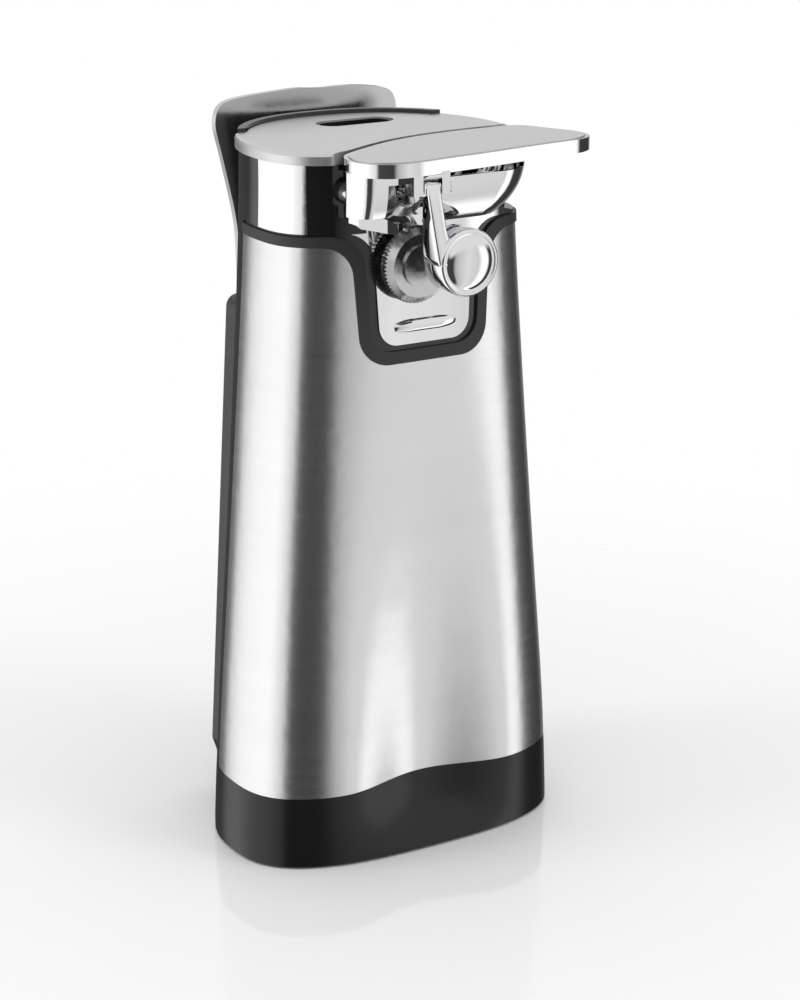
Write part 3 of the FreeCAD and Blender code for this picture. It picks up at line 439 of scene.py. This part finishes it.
# azimuth in degrees from +X towards +Y, and how bright the studio is there
STUDIO_BANDS = [(-179.0, 1.5), (-150.0, 1.0), (-141.0, 0.08), (-99.0, 0.06), (-88.0, 0.62), (-62.0, 1.0),
                (-50.0, 0.85), (-44.0, 1.5), (-29.0, 1.5), (-20.0, 0.06), (18.0, 0.05), (40.0, 0.35),
                (66.0, 0.06), (104.0, 0.14), (120.0, 1.4), (179.0, 1.5)]
BAND_TOP = (0.02, 0.26)                # rise of a ray over which the bands give way to white


def make_floor():
    """Pale glossy floor that fades out round the object and that reflections do not see."""
    mesh = bpy.data.meshes.new("floor")
    mesh.from_pydata([(-FLOOR_HALF, -FLOOR_HALF, 0), (FLOOR_HALF, -FLOOR_HALF, 0),
                      (FLOOR_HALF, FLOOR_HALF, 0), (-FLOOR_HALF, FLOOR_HALF, 0)], [], [(0, 1, 2, 3)])
    floor = bpy.data.objects.new("floor", mesh)
    bpy.context.scene.collection.objects.link(floor)
    material, tree, shader = new_material("floor")
    slow = stretched_noise(tree, (3.0, 3.0, 3.0))
    tree.links.new(tint(tree, slow, (0.66, 0.66, 0.66), (0.67, 0.67, 0.67)), shader.inputs["Base Color"])
    tree.links.new(spread(tree, slow, 0.05, 0.07), shader.inputs["Roughness"])
    # reflections in the metal pass through the floor and see the studio's bands instead
    path = add_node(tree, "ShaderNodeLightPath")
    clear = add_node(tree, "ShaderNodeBsdfTransparent")
    choose = add_node(tree, "ShaderNodeMixShader")
    out = next(n for n in tree.nodes if n.type == "OUTPUT_MATERIAL")
    coords = add_node(tree, "ShaderNodeTexCoord")
    away = add_node(tree, "ShaderNodeVectorMath", operation="LENGTH")
    tree.links.new(coords.outputs["Object"], away.inputs[0])
    fade = add_node(tree, "ShaderNodeMapRange", interpolation_type="SMOOTHSTEP")
    fade.inputs["From Min"].default_value = FLOOR_FADE[0]
    fade.inputs["From Max"].default_value = FLOOR_FADE[1]
    tree.links.new(away.outputs["Value"], fade.inputs["Value"])
    either = add_node(tree, "ShaderNodeMath", operation="MAXIMUM")
    tree.links.new(path.outputs["Is Glossy Ray"], either.inputs[0])
    tree.links.new(fade.outputs["Result"], either.inputs[1])
    tree.links.new(either.outputs["Value"], choose.inputs["Fac"])
    tree.links.new(shader.outputs["BSDF"], choose.inputs[1])
    tree.links.new(clear.outputs["BSDF"], choose.inputs[2])
    tree.links.new(choose.outputs["Shader"], out.inputs["Surface"])
    mesh.materials.append(material)


def make_world():
    """White for the camera; everything else sees light and dark bands round a white sky."""
    world = bpy.data.worlds.new("studio")
    bpy.context.scene.world = world
    world.use_nodes = True
    tree = world.node_tree
    tree.nodes.clear()
    out = add_node(tree, "ShaderNodeOutputWorld")
    coords = add_node(tree, "ShaderNodeTexCoord")
    split = add_node(tree, "ShaderNodeSeparateXYZ")
    tree.links.new(coords.outputs["Generated"], split.inputs["Vector"])
    turn = add_node(tree, "ShaderNodeMath", operation="ARCTAN2")
    tree.links.new(split.outputs["Y"], turn.inputs[0])
    tree.links.new(split.outputs["X"], turn.inputs[1])
    share = add_node(tree, "ShaderNodeMapRange")
    share.inputs["From Min"].default_value = -math.pi
    share.inputs["From Max"].default_value = math.pi
    tree.links.new(turn.outputs["Value"], share.inputs["Value"])
    ramp = add_node(tree, "ShaderNodeValToRGB")
    tree.links.new(share.outputs["Result"], ramp.inputs["Fac"])
    while len(ramp.color_ramp.elements) < len(STUDIO_BANDS):
        ramp.color_ramp.elements.new(0.5)
    for element, (degrees, level) in zip(ramp.color_ramp.elements, STUDIO_BANDS):
        element.position = (degrees + 180.0) / 360.0
        element.color = (level, level, level, 1.0)
    inner = add_node(tree, "ShaderNodeBackground")
    inner.inputs["Strength"].default_value = 1.0
    rise = add_node(tree, "ShaderNodeMapRange", interpolation_type="SMOOTHSTEP")
    rise.inputs["From Min"].default_value = BAND_TOP[0]
    rise.inputs["From Max"].default_value = BAND_TOP[1]
    tree.links.new(split.outputs["Z"], rise.inputs["Value"])
    lift = add_node(tree, "ShaderNodeMix", data_type="RGBA")
    colours = [s for s in lift.inputs if s.type == "RGBA"]
    tree.links.new(rise.outputs["Result"], lift.inputs["Factor"])
    tree.links.new(ramp.outputs["Color"], colours[0])
    colours[1].default_value = (1.0, 1.0, 1.0, 1.0)
    tree.links.new(next(s for s in lift.outputs if s.type == "RGBA"), inner.inputs["Color"])
    outer = add_node(tree, "ShaderNodeBackground")
    outer.inputs["Color"].default_value = (1.0, 1.0, 1.0, 1.0)
    outer.inputs["Strength"].default_value = 1.0
    path = add_node(tree, "ShaderNodeLightPath")
    choose = add_node(tree, "ShaderNodeMixShader")
    tree.links.new(path.outputs["Is Camera Ray"], choose.inputs["Fac"])
    tree.links.new(inner.outputs["Background"], choose.inputs[1])
    tree.links.new(outer.outputs["Background"], choose.inputs[2])
    tree.links.new(choose.outputs["Shader"], out.inputs["Surface"])


def area_light(name, place, aim, size, power):
    """Soft box that lights the object but does not show in its reflections."""
    data = bpy.data.lights.new(name, "AREA")
    data.shape = "RECTANGLE"
    data.size, data.size_y = size
    data.energy = power
    light = bpy.data.objects.new(name, data)
    light.location = place
    light.rotation_euler = (Vector(place) - Vector(aim)).to_track_quat("Z", "Y").to_euler()
    light.visible_glossy = False
    bpy.context.scene.collection.objects.link(light)


make_floor()
make_world()
bpy.context.scene.view_settings.view_transform = "Standard"
area_light("overhead", (0.0, 0.1, 1.3), (0, 0, 0), (1.6, 1.6), 6.0)
area_light("left_box", (-1.2, 0.4, 0.6), (0, 0, 0.12), (0.5, 1.0), 6.0)
area_light("right_box", (0.7, -1.1, 0.6), (0, 0, 0.12), (0.6, 1.0), 6.0)
